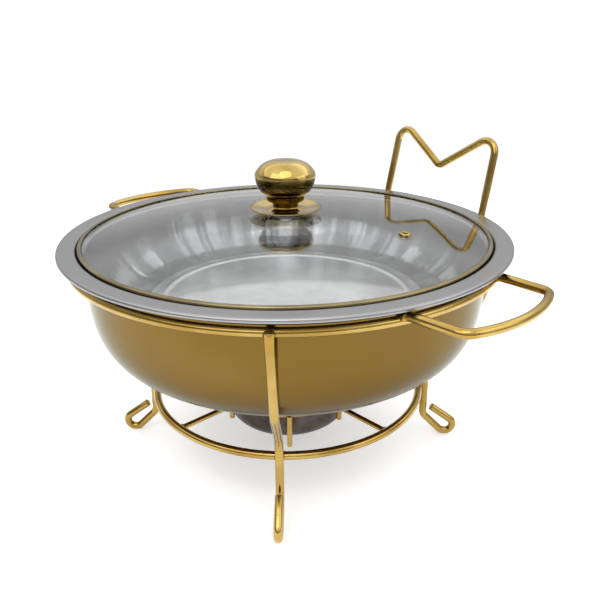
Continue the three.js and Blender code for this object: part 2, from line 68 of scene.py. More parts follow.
def place_camera():
    """The camera, placed, aimed and rolled by the values above."""
    data = bpy.data.cameras.new("camera")
    data.lens = LENS
    data.sensor_width = SENSOR
    data.clip_start = 0.01
    camera = bpy.data.objects.new("camera", data)
    bpy.context.scene.collection.objects.link(camera)
    place = Vector(CAMERA_PLACE) * MM
    look = (Vector(CAMERA_AIM) * MM - place).to_track_quat("-Z", "Y").to_matrix().to_4x4()
    roll = Matrix.Rotation(math.radians(CAMERA_ROLL), 4, "Z")
    camera.matrix_world = Matrix.Translation(place) @ look @ roll
    bpy.context.scene.camera = camera


place_camera()


# ---------------------------------------------------------------- sizes from the frame


class Extent:
    """A node's box in millimetres: its middle, half width, bottom and top."""

    def __init__(self, node):
        low, high = (np.array(corner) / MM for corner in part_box(node))
        self.middle = (low + high) / 2
        self.radius = (high[0] - low[0]) / 2
        self.bottom = low[2]
        self.top = high[2]


RIM = Extent("food_pan")
TOP_RING = Extent("top_ring")
LOWER_RING = Extent("lower_ring")
BURNER_RING = Extent("burner_ring")
WATER_PAN = Extent("water_pan")
GLASS = Extent("lid_glass")
BAND = Extent("lid_band")
KNOB_BASE = Extent("knob_base")
KNOB_CAP = Extent("knob_cap")
GASKET = Extent("knob_gasket")
WASHER = Extent("knob_washer")
SCREW = Extent("knob_screw")
CUP = Extent("burner_cup")
COVER = Extent("burner_cover")
SHUTTER = Extent("burner_shutter")
RIVET = Extent("shutter_rivet")

AXIS = TOP_RING.middle * (1, 1, 0)  # the pans', where it meets the floor
ROD = TOP_RING.top - TOP_RING.bottom
WIRE = BURNER_RING.top - BURNER_RING.bottom
RING_RADIUS = TOP_RING.radius - ROD / 2
LOWER_RADIUS = LOWER_RING.radius - ROD / 2
BURNER_RING_RADIUS = BURNER_RING.radius - WIRE / 2
RING_HEIGHT = TOP_RING.middle[2]
LOWER_HEIGHT = LOWER_RING.middle[2]

GAP = 0.3  # between pieces that touch
FINE = 224  # steps round the pans and the band
MEDIUM = 128  # steps round the burner and the knob
SHEET = 1.0  # thickness of the pans and the burner
RIM_WIDTH = 13.3
LEDGE_WIDTH = 6.7
LID_RECESS = 5.4
FOOD_DEPTH = 45.6
FOOD_FLOOR_RADIUS = 108.0
RING_MARGIN = 9.0  # from the water pan's wall to the middle of the top ring
DEEP_BOWL = (3.56, 4.0)  # a wall's shape, as the exponents of its radius and its depth
SHALLOW_PAN = (2.4, 2.4)
GLASS_THICKNESS = 3.5
LID_RISE = 14.8
LID_CURVE = 2.2

LEG_AZIMUTHS = (-45, 45, 135, 225)
SPOKE_AZIMUTHS = (0, 90, 180, 270)
PRONG_TURN = 4
LEG_KNEE = (142.9, 101.0)
LEG_ANKLE_RISE = 16.0
LEG_BEND = 24.0
FOOT_REACH = 19.0
HAIRPIN_RADIUS = 6.3
HAIRPIN_TAIL = 20.0
TAIL_SLOPE = 36
SHIN_SLOPE = 45

LEDGE_HEIGHT = RIM.top - LID_RECESS
RECESS_RADIUS = RIM.radius - RIM_WIDTH
LEG_RADIUS = RING_RADIUS + ROD + GAP
FOOT_RADIUS = LOWER_RADIUS + ROD + GAP


# ---------------------------------------------------------------- shader maths


class Signal:
    """A number on a socket of a shader tree. Arithmetic on it adds Math nodes."""

    def __init__(self, tree, socket):
        self.tree = tree
        self.socket = socket

    def math(self, operation, *values):
        return self.tree.node("Math", {"operation": operation}, dict(enumerate(values)))

    def __add__(self, other):
        return self.math("ADD", self, other)

    def __radd__(self, other):
        return self.math("ADD", other, self)

    def __sub__(self, other):
        return self.math("SUBTRACT", self, other)

    def __rsub__(self, other):
        return self.math("SUBTRACT", other, self)

    def __mul__(self, other):
        return self.math("MULTIPLY", self, other)

    def __rmul__(self, other):
        return self.math("MULTIPLY", other, self)

    def __truediv__(self, other):
        return self.math("DIVIDE", self, other)

    def __pow__(self, other):
        return self.math("POWER", self, other)


class Tree:
    """The nodes of a material or a world."""

    def __init__(self, owner):
        owner.use_nodes = True
        self.nodes = owner.node_tree.nodes
        self.links = owner.node_tree.links
        self.nodes.clear()

    def node(self, kind, settings=None, inputs=None, output=0):
        """A node of a kind, its settings, then its inputs by name or number."""
        node = self.nodes.new("ShaderNode" + kind)
        for name, value in (settings or {}).items():
            setattr(node, name, value)
        for name, value in (inputs or {}).items():
            if isinstance(value, Signal):
                self.links.new(value.socket, node.inputs[name])
            else:
                node.inputs[name].default_value = value
        return Signal(self, node.outputs[output]) if node.outputs else None

    def place(self, middle=(0, 0, 0)):
        """Object coordinates in metres from a middle given in millimetres, as x, y and z."""
        at = self.node("TexCoord", output="Object")
        at = self.node("VectorMath", {"operation": "SUBTRACT"}, {0: at, 1: np.array(middle) * MM})
        return [self.node("SeparateXYZ", {}, {0: at}, k) for k in range(3)]

    def run(self):
        """The piece's own coordinates: metres along its path or outline, and turns about it."""
        at = self.node("UVMap", {"uv_map": "run"})
        return [self.node("SeparateXYZ", {}, {0: at}, k) for k in range(2)]

    def vector(self, x, y, z):
        return self.node("CombineXYZ", {}, {"X": x, "Y": y, "Z": z})

    def noise(self, vector, scale, detail=2.0, roughness=0.5):
        inputs = {"Vector": vector, "Scale": scale, "Detail": detail, "Roughness": roughness}
        return self.node("TexNoise", {}, inputs)

    def step(self, value, low, high):
        """0 below low, 1 above high, and a smooth rise between them."""
        settings = {"interpolation_type": "SMOOTHSTEP"}
        return self.node("MapRange", settings, {"Value": value, "From Min": low, "From Max": high})

    def mix(self, share, first, second):
        """From a first colour to a second one."""
        inputs = {0: share, 6: rgba(first), 7: rgba(second)}
        return self.node("Mix", {"data_type": "RGBA"}, inputs, 2)

    def bump(self, height, distance):
        """A normal for heights from 0 to 1 that stand for a distance in millimetres."""
        return self.node("Bump", {}, {"Height": height, "Distance": distance * MM})


def rgba(color):
    """A colour for a socket: a link as it is, or three numbers with full opacity."""
    return color if isinstance(color, Signal) else (*color, 1.0)


def finish(name):
    """A new material and its empty tree."""
    material = bpy.data.materials.new(name)
    return material, Tree(material)


def shade(tree, inputs):
    """The Principled shader, wired to the output."""
    shader = tree.node("BsdfPrincipled", {}, inputs)
    tree.node("OutputMaterial", {}, {"Surface": shader})


def circle_of(turns):
    """A point on the unit circle, so that a pattern around a piece has no seam."""
    angle = turns * TURN
    return angle.math("COSINE", angle), angle.math("SINE", angle)


# ---------------------------------------------------------------- finishes


def plated_wire(name, deep, bright, roughness):
    """Polished plating on drawn wire: a drift of tone, lines along the wire, and dull specks."""
    material, tree = finish(name)
    along, turns = tree.run()
    across = circle_of(turns)
    place = tree.vector(*tree.place())
    drift = tree.noise(place, 22, 3)
    lines = tree.noise(tree.vector(across[0], across[1], along * 9), 5.5, 1)
    specks = tree.step(tree.noise(place, 420, 3), 0.66, 0.74)
    tone = tree.mix(tree.step(drift, 0.35, 0.68), deep, bright)
    color = tree.mix(specks * 0.35, tone, [c * 0.45 for c in deep])
    shade(
        tree,
        {
            "Base Color": color,
            "Metallic": 1.0,
            "Roughness": roughness + drift * 0.07 + lines * 0.08 + specks * 0.2,
            "Normal": tree.bump(lines, 0.012),
        },
    )
    return material


def knob_gold():
    """Polished plating, bright on the saucer and on the dome. Between them, on the knob's
    underside and neck, the much darker colour is painted shade."""
    material, tree = finish("knob_gold")
    along, turns = tree.run()
    across = circle_of(turns)
    place = tree.vector(*tree.place())
    height = tree.place()[2]
    drift = tree.noise(place, 40, 3)
    lines = tree.noise(tree.vector(across[0] * 0.5, across[1] * 0.5, along * 900), 1, 3)
    saucer = 1 - tree.step(height, (KNOB_BASE.bottom + 3.2) * MM, (KNOB_BASE.bottom + 4) * MM)
    shade_top = KNOB_CAP.bottom + 16
    dome = tree.step(height, (shade_top - 2) * MM, (shade_top + 2.5) * MM)
    polish = tree.step(drift, 0.35, 0.65)
    # deep is painted shade, used on the underside and neck between the saucer and the dome; bright
    # is the plating's own colour
    deep = tree.mix(polish, (0.055, 0.032, 0.007), (0.13, 0.085, 0.022))
    bright = tree.mix(polish, (0.4, 0.28, 0.08), (0.58, 0.42, 0.15))
    shade(
        tree,
        {
            "Base Color": tree.mix(saucer + dome, deep, bright),
            "Metallic": 1.0,
            "Roughness": 0.06 + drift * 0.06 + lines * 0.06,
            "Normal": tree.bump(lines, 0.01),
        },
    )
    return material


def weld_finish():
    """Heat-stained plating over lumpy braze: brown in the hollows, gold on the crests."""
    material, tree = finish("weld")
    place = tree.vector(*tree.place())
    lumps = tree.noise(place, 700, 4)
    stain = tree.step(tree.noise(place, 160, 2), 0.3, 0.6)
    shade(
        tree,
        {
            "Base Color": tree.mix(stain, (0.09, 0.032, 0.01), (0.4, 0.24, 0.06)),
            "Metallic": 1.0,
            "Roughness": 0.24 + lumps * 0.3,
            "Normal": tree.bump(lumps, 0.25),
        },
    )
    return material


def satin_gold():
    """Plated spun sheet: rings round it, streaks down the wall, and faint smudges. Toward the
    bottom its surface turns duller, and its colour darker and browner as painted shade."""
    material, tree = finish("satin_gold")
    along, turns = tree.run()
    across = circle_of(turns)
    place = tree.vector(*tree.place())
    rings = tree.noise(tree.vector(across[0] * 0.4, across[1] * 0.4, along * 1500), 1, 2)
    waves = tree.noise(tree.vector(across[0] * 0.5, across[1] * 0.5, along * 70), 1, 1)
    streaks = tree.noise(tree.vector(across[0] * 16, across[1] * 16, along * 7), 1, 3)
    smudges = tree.step(tree.noise(place, 24, 4, 0.6), 0.5, 0.75)
    drift = tree.step(tree.noise(place, 9, 2), 0.35, 0.65)
    tone = tree.mix(drift, (0.162, 0.098, 0.022), (0.192, 0.119, 0.031))
    height = tree.place()[2]
    # Painted shade: the colour darkens and browns toward the bottom of the bowl
    low = 1 - tree.step(height, WATER_PAN.bottom * MM, (WATER_PAN.bottom + 62) * MM)
    tone = tree.mix(low * 0.85, tone, (0.06, 0.032, 0.011))
    shade(
        tree,
        {
            "Base Color": tree.mix(smudges * 0.2, tone, (0.14, 0.1, 0.045)),
            "Metallic": 1.0,
            "Specular Tint": (0.8, 0.84, 0.82, 1),
            "Roughness": 0.07 + rings * 0.05 + streaks * 0.05 + smudges * 0.07 + low * 0.16,
            "Normal": tree.bump(rings * 0.25 + waves * 0.75, 0.02),
        },
    )
    return material


def pan_steel():
    """Polished steel with a satin ledge and rim. The floor has clouds of tone and fine rings.
    The wall has streaks down it, and its much darker colour is painted shade."""
    material, tree = finish("pan_steel")
    x, y, z = tree.place(AXIS)
    radius = (x * x + y * y) ** 0.5
    along, turns = tree.run()
    across = circle_of(turns)
    ledge = RECESS_RADIUS - LEDGE_WIDTH
    rim = tree.step(radius, (ledge - 1) * MM, (ledge + 0.5) * MM)
    floor = 1 - tree.step(radius, (FOOD_FLOOR_RADIUS - 4) * MM, FOOD_FLOOR_RADIUS * MM)
    wall = 1 - floor - rim
    rings = tree.noise(tree.vector(across[0] * 0.5, across[1] * 0.5, along * 550), 1, 3)
    pleats = tree.noise(tree.vector(across[0] * 11, across[1] * 11, along * 6), 1, 2)
    cloud = tree.noise(tree.vector(x, y, z), 26, 4, 0.6)
    scuffs = tree.step(tree.noise(tree.vector(x, y, z), 260, 4, 0.7), 0.62, 0.8)
    spun = tree.mix(tree.step(cloud, 0.3, 0.7), (0.56, 0.563, 0.57), (0.8, 0.803, 0.81))
    streak = tree.step(pleats, 0.42, 0.58)
    # The wall's dark colours are painted shade, laid over its real streaks
    drawn = tree.mix(streak, (0.04, 0.041, 0.045), (0.24, 0.244, 0.253))
    drawn = tree.mix(tree.step(cloud, 0.35, 0.7) * 0.25, drawn, (0.36, 0.365, 0.375))
    inside = tree.mix(floor, drawn, spun)
    shade(
        tree,
        {
            "Base Color": tree.mix(rim, inside, (0.33, 0.33, 0.335)),
            "Metallic": 1.0,
            "Roughness": 0.07 + rim * 0.2 + floor * 0.2 + rings * 0.04 + scuffs * 0.05,
            "Normal": tree.bump(rings * 0.002 + pleats * wall, 0.9),
        },
    )
    return material


def worked_steel(name, dark, light, roughness):
    """Brushed steel: lines along the outline's turns, clouds of tone, and small scuffs."""
    material, tree = finish(name)
    along, turns = tree.run()
    across = circle_of(turns)
    place = tree.vector(*tree.place())
    lines = tree.noise(tree.vector(across[0] * 0.6, across[1] * 0.6, along * 2600), 1, 3)
    cloud = tree.noise(place, 70, 4, 0.6)
    scuffs = tree.step(tree.noise(place, 600, 3, 0.7), 0.62, 0.76)
    shade(
        tree,
        {
            "Base Color": tree.mix(tree.step(cloud, 0.32, 0.68), dark, light),
            "Metallic": 1.0,
            "Roughness": roughness + lines * 0.12 + cloud * 0.1 + scuffs * 0.15,
            "Normal": tree.bump(lines, 0.03),
        },
    )
    return material


def clear_glass():
    """Tempered glass: clear, with a faint haze of wiping marks."""
    material, tree = finish("clear_glass")
    x, y, z = tree.place(AXIS)
    wipes = tree.noise(tree.vector(x * 14, y * 40, z * 14), 1, 4, 0.6)
    drift = tree.noise(tree.vector(x, y, z), 16, 2)
    haze = tree.step(wipes, 0.45, 0.75)
    shade(
        tree,
        {
            "Base Color": tree.mix(drift, (0.955, 0.975, 0.97), (0.985, 0.995, 0.99)),
            "Roughness": haze * 0.03,
            "Transmission Weight": 1.0,
            "IOR": 1.5,
        },
    )
    return material


def white_silicone():
    """Soft translucent silicone with a fine tooth."""
    material, tree = finish("silicone")
    place = tree.vector(*tree.place())
    tooth = tree.noise(place, 1600, 3)
    cloud = tree.noise(place, 120, 2)
    shade(
        tree,
        {
            "Base Color": tree.mix(cloud, (0.66, 0.65, 0.62), (0.78, 0.77, 0.74)),
            "Roughness": 0.42 + tooth * 0.18,
            "Subsurface Weight": 0.15,
            "Subsurface Scale": 0.001,
            "Normal": tree.bump(tooth, 0.04),
        },
    )
    return material


GOLD_WIRE = plated_wire("gold_wire", (0.34, 0.21, 0.047), (0.52, 0.36, 0.105), 0.12)
KNOB_GOLD = knob_gold()
BAND_GOLD = plated_wire("band_gold", (0.2, 0.16, 0.08), (0.3, 0.25, 0.13), 0.16)
WELD = weld_finish()
SATIN_GOLD = satin_gold()
PAN_STEEL = pan_steel()
BURNER_STEEL = worked_steel("burner_steel", (0.055, 0.043, 0.037), (0.115, 0.096, 0.085), 0.3)
BRIGHT_STEEL = worked_steel("bright_steel", (0.5, 0.5, 0.52), (0.66, 0.67, 0.69), 0.18)
CLEAR = clear_glass()
SILICONE = white_silicone()


# ---------------------------------------------------------------- lines and surfaces


def unit(vector):
    """Vectors along the last axis, each divided by its length."""
    return vector / np.linalg.norm(vector, axis=-1, keepdims=True)


def around(radius, azimuth, height):
    """A point at a distance from the pans' axis, at an azimuth in degrees."""
    a = math.radians(azimuth)
    return AXIS + (radius * math.cos(a), radius * math.sin(a), height)


def bent(corners, step=7.0):
    """Straight runs joined by arcs. A corner is (point, bend radius). Its arc starts a length
    radius * tan(turn / 2) before the corner, and turns about a centre at radius / cos(turn / 2)
    from the corner, on the inside of the bend, with a point every few degrees."""
    points = [np.array(point, float) for point, _ in corners]
    path = [points[0]]
    for before, corner, after, (_, radius) in zip(points, points[1:], points[2:], corners[1:]):
        into = unit(corner - before)
        out = unit(after - corner)
        turn = math.acos(min(1.0, float(into @ out)))
        if radius == 0 or turn < 1e-3:
            path.append(corner)
            continue
        centre = corner + unit(out - into) * radius / math.cos(turn / 2)
        arm = corner - into * radius * math.tan(turn / 2) - centre
        count = max(3, round(math.degrees(turn) / step) + 1)
        a = np.linspace(0, turn, count)[:, None]
        path.extend(centre + arm * np.cos(a) + into * radius * np.sin(a))
    path.append(points[-1])
    return np.array(path)


def rounded(corners, step=18.0):
    """An outline of [radius, height] corners, each with a fillet, as points."""
    flat = [((r, 0, z), fillet) for r, z, fillet in corners]
    return bent(flat, step)[:, [0, 2]]


def lengths(points):
    """Running length along a line of points."""
    return np.concatenate([[0], np.cumsum(np.linalg.norm(np.diff(points, axis=0), axis=1))])


def spaced(points, step):
    """The same line, with points added so that none are further apart than a step."""
    run = lengths(points)
    at = np.unique(np.round(np.concatenate([run, np.arange(0, run[-1], step)]), 4))
    return np.stack([np.interp(at, run, axis) for axis in points.T], 1)


def smooth(points, steps=6):
    """A Catmull-Rom curve through points: between two of them it is the cubic whose slope at
    each is half the line between that point's neighbours."""
    points = np.array(points, float)
    ends = [2 * points[0] - points[1], *points, 2 * points[-1] - points[-2]]
    p = np.array(ends)
    a, b, c, d = p[:-3, None], p[1:-2, None], p[2:-1, None], p[3:, None]
    t = (np.arange(steps) / steps)[None, :, None]
    curve = b + (c - a) / 2 * t + (a - 2.5 * b + 2 * c - d / 2) * t**2
    curve = curve + (1.5 * (b - c) + (d - a) / 2) * t**3
    return np.vstack([curve.reshape(-1, points.shape[1]), points[-1:]])


def bowl(radius, top, depth, floor_radius, shape, count=60):
    """A bowl's wall from its floor's edge up: the radius beyond the floor falls as a power of
    a cosine, and the height as a power of the sine of the same angle."""
    side, base = shape
    a = np.linspace(math.pi / 2, 0, count)
    reach = np.cos(a).clip(0) ** (2 / side)
    r = floor_radius + (radius - floor_radius) * reach
    return np.stack([r, top - depth * np.sin(a) ** (2 / base)], 1)


def sheet(face, thickness=SHEET):
    """A wall of even thickness, as a closed outline: the face, and then the same line set off
    to its right along its normals and run back."""
    ways = unit(np.diff(face, axis=0))
    along = unit(np.vstack([ways[:1], ways[:-1] + ways[1:], ways[-1:]]))
    back = face + np.stack([along[:, 1], -along[:, 0]], 1) * thickness
    back[:, 0] = np.where(face[:, 0] == 0, 0, back[:, 0])
    loop = np.vstack([face, back[::-1]])
    return loop if face[0, 0] == 0 else np.vstack([loop, face[:1]])


def turned(outline, middle=AXIS, segments=176):
    """An outline of [radius, height] turned about an upright axis. The grid is the middle plus
    (r cos a, r sin a, z), for each point of the outline and each angle of a full turn."""
    outline = np.array(outline, float)
    a = np.linspace(0, TURN, segments + 1)
    r = outline[:, :1]
    z = np.broadcast_to(outline[:, 1:], (len(outline), segments + 1))
    points = np.stack([r * np.cos(a), r * np.sin(a), z], 2) + middle * (1, 1, 0)
    run = np.broadcast_to(lengths(outline)[:, None] * MM, z.shape)
    turns = np.broadcast_to(a / TURN, z.shape)
    return points, np.stack([run, turns], 2)


def tube(path, diameter, closed=False, sides=20, edge=0.6):
    """A round section carried along a path. Each section is the path's point plus the radius
    times (side cos a + up sin a), where side and up are square to the path and turn with it
    as little as they can. An open end is flat, with a rounded edge."""
    path = np.array(path, float)
    radius = np.full(len(path), diameter / 2)
    if closed:
        ways = unit(np.roll(path, -1, 0) - np.roll(path, 1, 0))
        path, ways, radius = (np.concatenate([k, k[:1]]) for k in (path, ways, radius))
    else:
        runs = unit(np.diff(path, axis=0))
        ways = unit(np.vstack([runs[:1], runs[:-1] + runs[1:], runs[-1:]]))
        a = np.linspace(0, math.pi / 2, 4)
        inset = np.concatenate([[0], edge * (1 - np.cos(a))])
        size = np.concatenate([[0], diameter / 2 - edge + edge * np.sin(a)])
        first = path[0] + ways[0] * inset[:, None]
        last = (path[-1] - ways[-1] * inset[:, None])[::-1]
        path = np.vstack([first, path[1:-1], last])
        radius = np.concatenate([size, radius[1:-1], size[::-1]])
        ends = len(inset)
        ways = np.vstack([ways[:1].repeat(ends, 0), ways[1:-1], ways[-1:].repeat(ends, 0)])
    side = np.zeros_like(ways)
    side[0] = unit(np.cross(ways[0], (0.31, 0.52, 0.8)))
    for k in range(1, len(ways)):
        side[k] = unit(side[k - 1] - (side[k - 1] @ ways[k]) * ways[k])
    up = np.cross(ways, side)
    a = np.linspace(0, TURN, sides + 1)[None, :, None]
    ring = side[:, None] * np.cos(a) + up[:, None] * np.sin(a)
    points = path[:, None] + radius[:, None, None] * ring
    run = np.broadcast_to(lengths(path)[:, None] * MM, points.shape[:2])
    turns = np.broadcast_to(a[:, :, 0] / TURN, points.shape[:2])
    return points, np.stack([run, turns], 2)


def blob(middle, axes, lumps=0.1, seed=0):
    """A lumpy ellipsoid: the unit sphere's points, each carried out along the three half axes,
    times 1 plus a few sines of its angles."""
    rows = np.linspace(0, math.pi, 15)[:, None]
    turn = np.linspace(0, TURN, 21)[None, :]
    ball = [np.sin(rows) * np.cos(turn), np.sin(rows) * np.sin(turn), np.cos(rows) + 0 * turn]
    swell = np.sin(3 * turn + seed) * np.sin(rows) ** 2 + np.sin(4 * rows + 2 * seed) * 0.6
    ball = np.stack(ball, 2) * (1 + lumps * swell)[:, :, None]
    points = np.array(middle) + ball @ np.array(axes)
    run = np.broadcast_to(rows / math.pi * 4 * MM, points.shape[:2])
    turns = np.broadcast_to(turn / TURN, points.shape[:2])
    return points, np.stack([run, turns], 2)


SHARP = math.radians(38)  # edges that turn more than this stay crisp


def piece(name, grids, body, material, replaces=()):
    """Grids of points, with their own coordinates, joined into one closed mesh in metres that
    rides on a body. Points that meet at seams and poles are merged."""
    mesh = bpy.data.meshes.new(name)
    points, quads, runs, base = [], [], [], 0
    for grid, run in grids:
        rows, columns = grid.shape[:2]
        index = base + np.arange(rows * columns).reshape(rows, columns)
        faces = [index[:-1, :-1], index[1:, :-1], index[1:, 1:], index[:-1, 1:]]
        quads.append(np.stack(faces, -1).reshape(-1, 4))
        points.append(grid.reshape(-1, 3) * MM)
        runs.append(run.reshape(-1, 2))
        base += rows * columns
    quads = np.vstack(quads)
    mesh.from_pydata(np.vstack(points).tolist(), [], quads.tolist())
    layer = mesh.uv_layers.new(name="run")
    layer.data.foreach_set("uv", np.vstack(runs)[quads.ravel()].ravel())
    work = bmesh.new()
    work.from_mesh(mesh)
    bmesh.ops.remove_doubles(work, verts=work.verts, dist=0.002 * MM)
    bmesh.ops.recalc_face_normals(work, faces=work.faces)
    for face in work.faces:
        face.smooth = True
    for edge in work.edges:
        edge.smooth = len(edge.link_faces) == 2 and edge.calc_face_angle(0) < SHARP
    work.to_mesh(mesh)
    work.free()
    mesh.materials.append(material)
    thing = bpy.data.objects.new(name, mesh)
    bpy.context.scene.collection.objects.link(thing)
    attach(thing, body)
    if replaces:
        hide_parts(*replaces)
    return thing


# ---------------------------------------------------------------- stand


def ring_path(radius, height, count=200):
    """A level circle about the pans' axis."""
    a = np.linspace(0, TURN, count, endpoint=False)
    return AXIS + np.stack([radius * np.cos(a), radius * np.sin(a), 0 * a + height], 1)


def leg_path(azimuth):
    """Down along the bowl, past the lower ring, and out to a hairpin that turns under."""
    sole = SHIN_SLOPE / 3
    middle_z = (HAIRPIN_RADIUS + ROD / 2) * math.cos(math.radians(sole))
    middle = np.array([FOOT_RADIUS + FOOT_REACH, middle_z])
    a = np.radians(np.arange(-90 - SHIN_SLOPE, 90 - TAIL_SLOPE + 1, 9))
    hairpin = middle + HAIRPIN_RADIUS * np.stack([np.cos(a), np.sin(a)], 1)
    hairpin[:, 1] = np.maximum(hairpin[:, 1], ROD / 2)
    drop = (hairpin[0, 0] - FOOT_RADIUS) * math.tan(math.radians(SHIN_SLOPE))
    heel = (FOOT_RADIUS, hairpin[0, 1] + drop)
    tail = math.radians(180 - TAIL_SLOPE)
    end = hairpin[-1] + HAIRPIN_TAIL * np.array([math.cos(tail), math.sin(tail)])
    shank = [
        ((LEG_RADIUS, RING_HEIGHT + ROD / 2), 0),
        ((LEG_RADIUS, RING_HEIGHT - ROD), LEG_BEND),
        (LEG_KNEE, LEG_BEND),
        ((FOOT_RADIUS, LOWER_HEIGHT + LEG_ANKLE_RISE), LEG_BEND),
        (heel, ROD * 1.5),
        (hairpin[0], 0),
    ]
    side = bent([((r, 0, z), bend) for (r, z), bend in shank], 5)[:-1, [0, 2]]
    side = np.vstack([side, hairpin, end])
    turn = math.radians(azimuth)
    out = np.array([math.cos(turn), math.sin(turn), 0])
    return AXIS + side[:, :1] * out + side[:, 1:] * np.array([0, 0, 1])


HANDLE_REACH = 33.0
HANDLE_BULGE = 10.5
HANDLE_ROOT = 46.0
HANDLE_CORNER = 44.5
HANDLE_BEND = 9.0
HANDLE_LIFT = 3.5


def handle_path(azimuth):
    """Two arms and a bowed grip, level, with the arms' roots against the top ring."""
    height = RING_HEIGHT + HANDLE_LIFT
    root = math.sqrt((RING_RADIUS + ROD / 2) ** 2 - HANDLE_ROOT**2)
    corner = RING_RADIUS + HANDLE_REACH
    bow = (HANDLE_CORNER**2 + HANDLE_BULGE**2) / (2 * HANDLE_BULGE)
    spread = math.asin(HANDLE_CORNER / bow)
    a = np.linspace(-0.75, 0.75, 15) * spread
    grip = [((corner + HANDLE_BULGE - bow + bow * math.cos(k), bow * math.sin(k)), 0) for k in a]
    arms = [((root, -HANDLE_ROOT), 0), ((corner, -HANDLE_CORNER), HANDLE_BEND)]
    back = [((x, -y), bend) for (x, y), bend in reversed(arms)]
    flat = bent([((x, y, height), bend) for (x, y), bend in [*arms, *grip, *back]])
    turn = Matrix.Rotation(math.radians(azimuth), 3, "Z")
    return AXIS + flat @ np.array(turn).T


HOLDER_AZIMUTH = 85
HOLDER_LEAN = 12
HOLDER_HALF_WIDTH = 55.0
HOLDER_TOP_HALF_WIDTH = 53.5
HOLDER_RISE = 62.6
HOLDER_DIP_RISE = 28.5
LID_TO_HOLDER = 4.0


def holder_path():
    """Two peaks with a notch between them, in a plane that leans away from the dish, on feet
    that reach the top ring."""
    turn = math.radians(HOLDER_AZIMUTH)
    out = np.array([math.cos(turn), math.sin(turn), 0])
    across = np.array([out[1], -out[0], 0])
    reach = math.sqrt((RIM.radius + ROD / 2 + LID_TO_HOLDER) ** 2 - HOLDER_HALF_WIDTH**2)
    lean = math.tan(math.radians(HOLDER_LEAN))

    def at(offset, height):
        return out * (reach + lean * (height - RIM.top)) + across * offset + (0, 0, height)

    def root(sign):
        foot = at(sign * HOLDER_HALF_WIDTH, RING_HEIGHT) * (1, 1, 0)
        return unit(foot) * (RING_RADIUS + ROD / 2) + (0, 0, RING_HEIGHT)

    half = [
        (root(-1), 0),
        (at(-HOLDER_HALF_WIDTH, RING_HEIGHT), 5),
        (at(-HOLDER_TOP_HALF_WIDTH, RIM.top + HOLDER_RISE), 10),
    ]
    other = [
        (at(HOLDER_TOP_HALF_WIDTH, RIM.top + HOLDER_RISE), 10),
        (at(HOLDER_HALF_WIDTH, RING_HEIGHT), 5),
        (root(1), 0),
    ]
    return AXIS + bent([*half, (at(0, RIM.top + HOLDER_DIP_RISE), 6), *other])


SPOKE_HOOK = 11.0
PRONG_LENGTH = 26.5


def spoke_path(azimuth):
    """From inside the lower ring to a short leg that turns down outside the burner's ring."""
    hook = BURNER_RING_RADIUS + WIRE + GAP
    start = around(LOWER_RADIUS - ROD / 2 + 0.6, azimuth, LOWER_HEIGHT)
    corner = around(hook, azimuth, LOWER_HEIGHT)
    return bent([(start, 0), (corner, WIRE), (corner - (0, 0, SPOKE_HOOK), 0)], 12)


def prong_path(azimuth):
    """Straight down from the outside of the burner's ring."""
    top = around(BURNER_RING_RADIUS + WIRE + GAP, azimuth, LOWER_HEIGHT + WIRE / 2 - GAP)
    return np.linspace(top, top - (0, 0, PRONG_LENGTH), 4)


def bead(radius, azimuth, height, size, seed):
    """A weld bead, with its half axes out from the axis, round it, and upwards."""
    turn = math.radians(azimuth)
    out = np.array([math.cos(turn), math.sin(turn), 0])
    axes = [out * size[0], np.array([-out[1], out[0], 0]) * size[1], np.array([0, 0, size[2]])]
    return blob(around(radius, azimuth, height), axes, 0.1, seed)


def stand_beads():
    """Beads where the legs, handles, holder, spokes and prongs meet the rings."""
    beads = []
    for k, azimuth in enumerate(LEG_AZIMUTHS):
        beads.append(bead(RING_RADIUS + 3.2, azimuth, RING_HEIGHT, (1.5, 3.6, 2.9), k))
        beads.append(bead(LOWER_RADIUS + 3.2, azimuth, LOWER_HEIGHT, (1.5, 3.5, 2.8), k + 7))
        prong = (BURNER_RING_RADIUS + 2.1, azimuth + PRONG_TURN, LOWER_HEIGHT)
        beads.append(bead(*prong, (1.0, 2.2, 1.6), k + 13))
    for k, azimuth in enumerate(SPOKE_AZIMUTHS):
        beads.append(bead(LOWER_RADIUS - 3.1, azimuth, LOWER_HEIGHT, (1.3, 2.9, 2.3), k + 21))
        beads.append(bead(BURNER_RING_RADIUS + 2.1, azimuth, LOWER_HEIGHT, (1, 2.2, 1.6), k + 27))
    joints = [(path[0], k) for k, path in enumerate((handle_path(0), handle_path(180)))]
    joints += [(path[-1], k + 3) for k, path in enumerate((handle_path(0), handle_path(180)))]
    joints += [(holder_path()[0], 8), (holder_path()[-1], 9)]
    for point, seed in joints:
        azimuth = math.degrees(math.atan2(point[1] - AXIS[1], point[0]))
        radius = math.hypot(point[1] - AXIS[1], point[0]) + 0.2
        beads.append(bead(radius, azimuth, point[2] - 0.8, (1.7, 3.8, 2.9), seed))
    return beads


